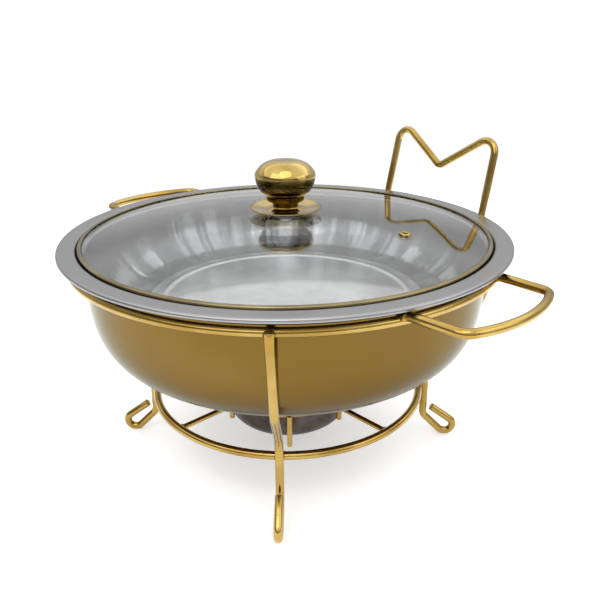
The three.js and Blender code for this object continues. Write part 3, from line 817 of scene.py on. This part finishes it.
def build_stand():
    """Every wire of the stand as a tube along its path, and the beads that join them."""
    wires = {
        "top_ring": (ring_path(RING_RADIUS, RING_HEIGHT), ROD, True),
        "lower_ring": (ring_path(LOWER_RADIUS, LOWER_HEIGHT), ROD, True),
        "burner_ring": (ring_path(BURNER_RING_RADIUS, LOWER_HEIGHT, 120), WIRE, True),
        "handle_right": (handle_path(0), ROD, False),
        "handle_left": (handle_path(180), ROD, False),
        "lid_holder": (holder_path(), ROD, False),
    }
    for k, azimuth in enumerate(LEG_AZIMUTHS):
        wires[f"leg_{k + 1}"] = (leg_path(azimuth), ROD, False)
        wires[f"burner_prong_{k + 1}"] = (prong_path(azimuth + PRONG_TURN), WIRE, False)
    for k, azimuth in enumerate(SPOKE_AZIMUTHS):
        wires[f"spoke_{k + 1}"] = (spoke_path(azimuth), WIRE, False)
    for node, (path, diameter, closed) in wires.items():
        grid = tube(path, diameter, closed)
        piece(node + "_wire", [grid], "stand", GOLD_WIRE, [node])
    piece("stand_welds", stand_beads(), "stand", WELD)


# ---------------------------------------------------------------- pans


def build_water_pan():
    """A bowl, bent outward at the top into the flat flange that it hangs by."""
    wall_radius = WATER_PAN.radius - RING_MARGIN - SHEET
    depth = WATER_PAN.top - WATER_PAN.bottom - SHEET
    wall = bowl(wall_radius, WATER_PAN.top, depth, 0, DEEP_BOWL, 90)
    lip = rounded(
        [
            (wall_radius, WATER_PAN.top - 6, 0),
            (wall_radius, WATER_PAN.top, 2.2),
            (WATER_PAN.radius, WATER_PAN.top, 0),
        ]
    )
    lower = wall[wall[:, 1] < WATER_PAN.top - 6]
    face = spaced(np.vstack([lower, lip]), 3.0)
    grid = turned(sheet(face), segments=FINE)
    piece("water_pan_bowl", [grid], "water_pan", SATIN_GOLD, ["water_pan"])


FLOOR_RINGS = ((96, 2.2, 0.9), (40, 30, 0.35))  # radius, width and rise


def build_food_pan():
    """A floor with low rings pressed in it, each rising as exp(-((r - radius) / width) ** 2), a
    wall, the lid's ledge, a step, and a wide rim that turns down."""
    floor = LEDGE_HEIGHT - FOOD_DEPTH
    wall_radius = RECESS_RADIUS - LEDGE_WIDTH
    wall = bowl(wall_radius, LEDGE_HEIGHT, FOOD_DEPTH, FOOD_FLOOR_RADIUS, SHALLOW_PAN, 50)
    r = np.linspace(0, FOOD_FLOOR_RADIUS - 1, 60)
    pressed = sum(rise * np.exp(-(((r - at) / width) ** 2)) for at, width, rise in FLOOR_RINGS)
    bottom = np.stack([r, floor + pressed], 1)
    lip = rounded(
        [
            (wall_radius, LEDGE_HEIGHT - 5, 0),
            (wall_radius, LEDGE_HEIGHT, 1.8),
            (RECESS_RADIUS, LEDGE_HEIGHT, 1.2),
            (RECESS_RADIUS, RIM.top, 1.5),
            (RIM.radius, RIM.top, 1.5),
            (RIM.radius, RIM.top - 2.5, 0),
        ]
    )
    lower = wall[wall[:, 1] < LEDGE_HEIGHT - 5]
    face = spaced(np.vstack([bottom, lower, lip]), 2.5)
    grid = turned(sheet(face), segments=FINE)
    piece("food_pan_tray", [grid], "food_pan", PAN_STEEL, ["food_pan"])


# ---------------------------------------------------------------- lid


def glass_height(radius):
    """The glass's upper face falls from its crown as a power of the radius."""
    return GLASS.top - LID_RISE * (np.array(radius) / GLASS.radius) ** LID_CURVE


SCREW_HOLE = 4.0  # radius, in the glass
GLASS_GRIND = 1.6  # how far the rounding of the edge reaches in


def build_lid_glass():
    """The pane, with its edge ground round and a hole for the knob's screw and for the vent."""
    flat = GLASS.radius - GLASS_GRIND
    r = np.linspace(SCREW_HOLE, flat, 56)
    top = np.stack([r, glass_height(r)], 1)
    edge = np.linspace(math.pi / 2, -math.pi / 2, 9)
    half = GLASS_THICKNESS / 2
    middle = glass_height(flat) - half
    ground = np.stack([flat + GLASS_GRIND * np.cos(edge), middle + half * np.sin(edge)], 1)
    under = (top - (0, GLASS_THICKNESS))[::-1]
    outline = np.vstack([top, ground[1:-1], under, top[:1]])
    pane = piece("lid_glass_pane", [turned(outline)], "lid", CLEAR, ["lid_glass"])
    cut_vent_hole(pane)


VENT_DISTANCE = 92.8
VENT_AZIMUTH = 20.3
VENT_TUBE = 2.6
VENT_FLANGE = 4.6
VENT_BORE = 1.6
VENT_PLATE = 0.9


def at_vent(points):
    """Points given about the origin, carried to the vent and tilted square to the glass."""
    step = 0.01
    slope = (glass_height(VENT_DISTANCE + step) - glass_height(VENT_DISTANCE)) / step
    place = around(VENT_DISTANCE, VENT_AZIMUTH, float(glass_height(VENT_DISTANCE)))
    turn = Matrix.Rotation(math.radians(VENT_AZIMUTH), 3, "Z")
    tilt = Matrix.Rotation(-math.atan(float(slope)), 3, "Y")
    return points @ np.array(turn @ tilt).T + place


def cut_vent_hole(pane):
    """Takes the vent's hole out of the pane with a round cutter."""
    outline = [(0, -9), (VENT_TUBE + GAP, -9), (VENT_TUBE + GAP, 6), (0, 6)]
    points, run = turned(outline, np.zeros(3), 32)
    cutter = piece("vent_cutter", [(at_vent(points), run)], "lid", CLEAR)
    cut = pane.modifiers.new("vent_hole", "BOOLEAN")
    cut.operation = "DIFFERENCE"
    cut.object = cutter
    graph = bpy.context.evaluated_depsgraph_get()
    result = bpy.data.meshes.new_from_object(pane.evaluated_get(graph))
    pane.modifiers.remove(cut)
    pane.data = result
    bpy.data.objects.remove(cutter)


def build_vent():
    """A hollow rivet clenched on both faces of the glass."""
    under = -GLASS_THICKNESS - GAP
    outline = rounded(
        [
            (VENT_BORE, -1, 0),
            (VENT_BORE, under - VENT_PLATE, 0.4),
            (VENT_FLANGE, under - VENT_PLATE, 0.35),
            (VENT_FLANGE, under, 0.2),
            (VENT_TUBE, under, 0.1),
            (VENT_TUBE, GAP, 0.1),
            (VENT_FLANGE, GAP, 0.2),
            (VENT_FLANGE - 0.1, GAP + VENT_PLATE, 0.6),
            (VENT_BORE, GAP + VENT_PLATE, 0.5),
            (VENT_BORE, -1, 0),
        ]
    )
    points, run = turned(outline, np.zeros(3), 48)
    grids = [(at_vent(points), run)]
    piece("vent_eyelet", grids, "lid", KNOB_GOLD, ["steam_vent"])


BAND_LIP = 1.2  # how far the band reaches over the glass
BAND_SHEET = 1.0


def build_band():
    """A channel of thin sheet pressed round the glass's edge, with its upper lip laid along
    the glass."""
    lip = GLASS.radius - BAND_LIP
    inner = BAND.radius - BAND_SHEET
    edge = float(glass_height(GLASS.radius)) + GAP
    over = float(glass_height(lip)) + GAP
    outline = rounded(
        [
            ((lip + BAND.radius) / 2, BAND.bottom, 0),
            (BAND.radius, BAND.bottom, 0.9),
            (BAND.radius, edge + BAND_SHEET, 0.9),
            (lip, over + BAND_SHEET, 0.4),
            (lip, over, 0.2),
            (inner - 0.6, edge, 0.3),
            (inner, edge - 0.4, 0.3),
            (inner, BAND.bottom + BAND_SHEET, 0.3),
            (lip, BAND.bottom + BAND_SHEET, 0.3),
            (lip, BAND.bottom, 0.3),
            ((lip + BAND.radius) / 2, BAND.bottom, 0),
        ]
    )
    grid = turned(outline, segments=FINE)
    piece("lid_band_trim", [grid], "lid", BAND_GOLD, ["lid_band"])


KNOB_BORE = 3.0  # radius of the screw's hole in the knob, its saucer, gasket and washer


def build_knob():
    """A shallow saucer with a short neck, and a mushroom with a collar, an undercut and a
    low dome."""
    z = KNOB_BASE.bottom
    edge = z + 3.2
    neck = 10.5
    r = KNOB_BASE.radius
    dish = smooth(
        [(r - 0.5, edge + 0.45), (r - 3, edge + 0.1), (r - 7, edge - 0.8), (neck + 4, z + 1.4)]
    )
    stem = smooth(
        [(neck + 1.2, z + 1.9), (neck - 0.6, z + 3.2), (neck - 1, z + 4.8), (neck, z + 7.7)]
    )
    inside = [(KNOB_BORE, z + 4, 0), (KNOB_BORE, z, 0.2)]
    under = rounded([*inside, (neck + 1.5, z, 0.5), (r, edge - 0.3, 0)])
    roll = smooth([(r, edge - 0.3), (r, edge + 0.2), (r - 0.5, edge + 0.45)], 4)
    end = [(KNOB_BORE, z + 7.7), (KNOB_BORE, z + 4)]
    outline = np.vstack([under, roll, dish, stem, end])
    base = turned(outline, segments=112)
    piece("knob_saucer", [base], "lid", KNOB_GOLD, ["knob_base"])

    z = KNOB_CAP.bottom
    r = KNOB_CAP.radius
    collar = rounded(
        [
            (KNOB_BORE, z + 6, 0),
            (KNOB_BORE, z, 0.3),
            (r - 8.5, z, 0.9),
            (r - 8.2, z + 3.9, 0.6),
            (r - 6.9, z + 4.9, 0),
        ]
    )
    belly = smooth(
        [
            (r - 6.9, z + 4.9),
            (r - 3.4, z + 7.9),
            (r - 1.2, z + 12.2),
            (r - 0.2, z + 16.8),
            (r, z + 18.8),
        ]
    )
    dome = smooth(
        [
            (r, z + 18.8),
            (r - 0.9, z + 21.3),
            (r - 4.6, z + 25.6),
            (r - 10.3, z + 28.5),
            (r - 16.4, z + 29.5),
            (0, z + 29.7),
        ]
    )
    blind = [(0, z + 14.7), (KNOB_BORE, z + 13.7), (KNOB_BORE, z + 6)]
    outline = np.vstack([collar, belly, dome, blind])
    outline[:, 0] = outline[:, 0].clip(0)
    cap = turned(outline, segments=MEDIUM)
    piece("knob_mushroom", [cap], "lid", KNOB_GOLD, ["knob_cap"])


def disc_outline(inner, outer, bottom, top, fillet):
    """A flat ring's section, with rounded corners."""
    middle = (bottom + top) / 2
    return rounded(
        [
            (inner, middle, 0),
            (inner, bottom, fillet),
            (outer, bottom, fillet),
            (outer, top, fillet),
            (inner, top, fillet),
            (inner, middle, 0),
        ]
    )


def build_fixings():
    """The gasket over the glass, and the washer and screw under it."""
    gasket = disc_outline(KNOB_BORE, GASKET.radius, GASKET.bottom, GASKET.top, 0.35)
    piece("knob_seal", [turned(gasket)], "lid", SILICONE, ["knob_gasket"])
    washer = disc_outline(KNOB_BORE, WASHER.radius, WASHER.bottom, WASHER.top, 0.3)
    piece("washer_disc", [turned(washer)], "lid", BRIGHT_STEEL, ["knob_washer"])
    z = SCREW.bottom
    head = rounded(
        [
            (0, z + 0.9, 0),
            (1.4, z + 0.9, 0.2),
            (2.2, z, 0.3),
            (SCREW.radius - 0.6, z + 0.2, 0.8),
            (SCREW.radius, z + 1.4, 0.8),
            (SCREW.radius, z + 3, 0.2),
            (2.5, z + 3, 0.2),
            (2.5, SCREW.top, 0.4),
            (0, SCREW.top, 0),
        ]
    )
    piece("screw_turned", [turned(head, segments=64)], "lid", BRIGHT_STEEL, ["knob_screw"])


# ---------------------------------------------------------------- burner


FLAME_HOLE = 20.0
COVER_SPIGOT = 3.5
BURNER_FLANGE = 6.0
RIVET_OFFSET = 34.0
RIVET_SHANK = 1.5
SHUTTER_RADIUS = 23.0
SHUTTER_EAR = 5.0


def build_cup():
    """A smaller bowl of the water pan's kind, with a flat flange that the cover lies on."""
    radius = CUP.radius - BURNER_FLANGE - SHEET
    wall = bowl(radius, CUP.top, CUP.top - CUP.bottom - SHEET, 0, DEEP_BOWL, 60)
    lip = rounded(
        [
            (radius, CUP.top - 5, 0),
            (radius, CUP.top, 2.0),
            (CUP.radius, CUP.top, 0),
        ]
    )
    face = spaced(np.vstack([wall[wall[:, 1] < CUP.top - 5], lip]), 2.5)
    grid = turned(sheet(face), segments=MEDIUM)
    piece("burner_bowl", [grid], "burner", BURNER_STEEL, ["burner_cup"])


def build_cover():
    """A plate with a rolled flame hole and a collar that drops into the cup."""
    under = COVER.top - SHEET
    collar = CUP.radius - BURNER_FLANGE - SHEET - 2 * GAP - 1
    outline = rounded(
        [
            (FLAME_HOLE + 4, under, 0),
            (collar - SHEET, under, 0.2),
            (collar - SHEET, under - COVER_SPIGOT, 0.2),
            (collar, under - COVER_SPIGOT, 0.2),
            (collar, under, 0.3),
            (COVER.radius, under, 0.3),
            (COVER.radius, COVER.top, 0.45),
            (FLAME_HOLE, COVER.top, 0.6),
            (FLAME_HOLE, under, 0.2),
            (FLAME_HOLE + 4, under, 0),
        ]
    )
    grid = turned(outline, segments=MEDIUM)
    piece("burner_lid", [grid], "burner", BRIGHT_STEEL, ["burner_cover"])


def shutter_reach(angle):
    """How far the shutter reaches from the flame hole's middle at an angle: a disc, and the
    two straight sides that run from it to a round ear about the rivet."""
    lean = math.acos((SHUTTER_RADIUS - SHUTTER_EAR) / RIVET_OFFSET)
    a = np.abs(angle)
    ear_end = math.atan2(
        SHUTTER_EAR * math.sin(lean),
        RIVET_OFFSET + SHUTTER_EAR * math.cos(lean),
    )
    side = SHUTTER_RADIUS / np.cos(np.minimum(a, lean) - lean)
    short = np.sqrt((SHUTTER_EAR**2 - (RIVET_OFFSET * np.sin(np.minimum(a, ear_end))) ** 2).clip(0))
    ear = RIVET_OFFSET * np.cos(a) + short
    return np.where(a < ear_end, ear, np.where(a < lean, side, SHUTTER_RADIUS))


def build_shutter():
    """A plate of even thickness whose edge is rounded, with a tab bent up from it."""
    under = SHUTTER.bottom
    fillet = 0.35
    a = np.linspace(-math.pi, math.pi, 193)
    b = np.linspace(-math.pi / 2, math.pi / 2, 7)
    share = np.concatenate([np.linspace(0, 0.98, 8), np.ones(7), np.linspace(0.98, 0, 8)])
    inset = np.concatenate([np.zeros(8), fillet * (1 - np.cos(b)), np.zeros(8)])
    rim = under + SHEET / 2 + np.sin(b) * (SHEET / 2)
    height = np.concatenate([np.full(8, under), rim, np.full(8, under + SHEET)])
    reach = (shutter_reach(a)[None, :] - inset[:, None]) * share[:, None]
    z = np.broadcast_to(height[:, None], reach.shape)
    disc = np.stack([reach * np.cos(a), reach * np.sin(a), z], 2) + AXIS
    run = np.stack([reach * MM, np.broadcast_to(a / TURN, reach.shape)], 2)
    tab = slab((3.0 - SHUTTER_RADIUS, 0, under + 3.3), (SHEET / 2, 5.0, 2.7))
    grids = [(disc, run), tab]
    piece("shutter_plate", grids, "shutter", BRIGHT_STEEL, ["burner_shutter"])


def slab(middle, half, power=0.22):
    """A block with rounded edges: a sphere's sines and cosines, each raised to a small power
    with its sign kept, times the block's half sizes."""
    rows = np.linspace(-math.pi / 2, math.pi / 2, 25)[:, None]
    turn = np.linspace(-math.pi, math.pi, 41)[None, :]

    def squared(wave):
        return np.sign(wave) * np.abs(wave) ** power

    x = squared(np.cos(rows)) * squared(np.cos(turn))
    y = squared(np.cos(rows)) * squared(np.sin(turn))
    z = squared(np.sin(rows)) + 0 * turn
    points = np.stack([x, y, z], 2) * half + middle + AXIS
    run = np.broadcast_to(rows * 5 * MM, x.shape)
    return points, np.stack([run, np.broadcast_to(turn / TURN, x.shape)], 2)


def build_rivet():
    """A shank between two flat heads, the upper one rounder at its edge."""
    z = RIVET.bottom
    head = RIVET.radius
    outline = rounded(
        [
            (0, z, 0),
            (head, z, 0.5),
            (head, z + 1, 0.2),
            (RIVET_SHANK, z + 1, 0),
            (RIVET_SHANK, RIVET.top - 1, 0),
            (head, RIVET.top - 1, 0.2),
            (head - 0.3, RIVET.top, 0.8),
            (0, RIVET.top, 0),
        ]
    )
    grid = turned(outline, RIVET.middle, 40)
    piece("rivet_pin", [grid], "burner", BURNER_STEEL, ["shutter_rivet"])


# ---------------------------------------------------------------- studio


FLOOR_RADIUS = 900.0
FLOOR_GLOW = 0.4


def build_floor():
    """A round pale floor that glows a little, with the faintest mottling."""
    mesh = bpy.data.meshes.new("floor")
    turns = np.linspace(0, TURN, 96, endpoint=False)
    edge = np.stack([np.cos(turns), np.sin(turns), turns * 0], 1) * FLOOR_RADIUS * MM
    mesh.from_pydata([tuple(p) for p in edge.tolist()], [], [tuple(range(len(edge)))])
    material, tree = finish("floor")
    cloud = tree.noise(tree.vector(*tree.place()), 3, 3)
    color = tree.mix(cloud, (0.86, 0.86, 0.86), (0.9, 0.9, 0.9))
    glow = {"Emission Color": (1, 1, 1, 1), "Emission Strength": FLOOR_GLOW}
    shade(tree, {"Base Color": color, "Roughness": 0.6 + cloud * 0.1, **glow})
    mesh.materials.append(material)
    floor = bpy.data.objects.new("floor", mesh)
    bpy.context.scene.collection.objects.link(floor)


def soft_light(name, place, aim, size, power):
    """A rectangular panel of light. Its place, aim and size are in metres, its power in watts."""
    data = bpy.data.lights.new(name, "AREA")
    data.shape = "RECTANGLE"
    data.size, data.size_y = size
    data.energy = power
    light = bpy.data.objects.new(name, data)
    bpy.context.scene.collection.objects.link(light)
    turn = (Vector(aim) - Vector(place)).to_track_quat("-Z", "Y").to_matrix().to_4x4()
    light.matrix_world = Matrix.Translation(Vector(place)) @ turn


def soft_sky(name, way, width, strength):
    """Light from far away, from a round patch of sky as wide as the given degrees."""
    data = bpy.data.lights.new(name, "SUN")
    data.angle = math.radians(width)
    data.energy = strength
    light = bpy.data.objects.new(name, data)
    bpy.context.scene.collection.objects.link(light)
    light.matrix_world = Vector(way).to_track_quat("Z", "Y").to_matrix().to_4x4()


def build_lights():
    """A very wide patch of sky, a narrower one for highlights, and two broad panels."""
    soft_sky("overhead_sky", (0.2, -0.1, 1.0), 125, 2.5)
    soft_sky("lamp", (0.35, -0.3, 1.0), 34, 0.4)
    soft_light("front_panel", (0.3, -1.2, 1.3), (0, 0, 0.15), (1.5, 1.1), 5)
    soft_light("side_panel", (1.5, 0.7, 0.9), (0, 0, 0.1), (1.1, 1.3), 4)


def build_world():
    """A pale backdrop behind the dish, a grey ceiling, and on the camera's side a dim room above
    a paler floor. They light the dish and show in its reflections. The camera sees plain white."""
    world = bpy.data.worlds.new("studio")
    bpy.context.scene.world = world
    tree = Tree(world)
    way = tree.node("TexCoord", output="Generated")
    x, y, z = (tree.node("SeparateXYZ", {}, {0: way}, k) for k in range(3))
    toward = x * FRONT[0] + y * FRONT[1]
    backdrop = 1 - tree.step(toward, -0.6, 0.3)
    ceiling = tree.step(z, 0.55, 0.85)
    room = 0.5 - tree.step(z, -0.05, 0.35) * 0.4
    wall = room * (1 - backdrop) + backdrop * (0.6 + 0.4 * tree.step(z, 0.26, 0.42))
    glow = wall * (1 - ceiling) + ceiling * 0.4
    seen = tree.node("LightPath", output="Is Camera Ray")
    strength = glow * (1 - seen) + seen
    back = tree.node("Background", {}, {"Color": (1, 1, 1, 1), "Strength": strength})
    tree.node("OutputWorld", {}, {"Surface": back})


# ---------------------------------------------------------------- making it all

build_stand()
build_water_pan()
build_food_pan()
build_lid_glass()
build_vent()
build_band()
build_knob()
build_fixings()
build_cup()
build_cover()
build_shutter()
build_rivet()
build_floor()
build_lights()
build_world()
bpy.context.scene.view_settings.view_transform = "Standard"
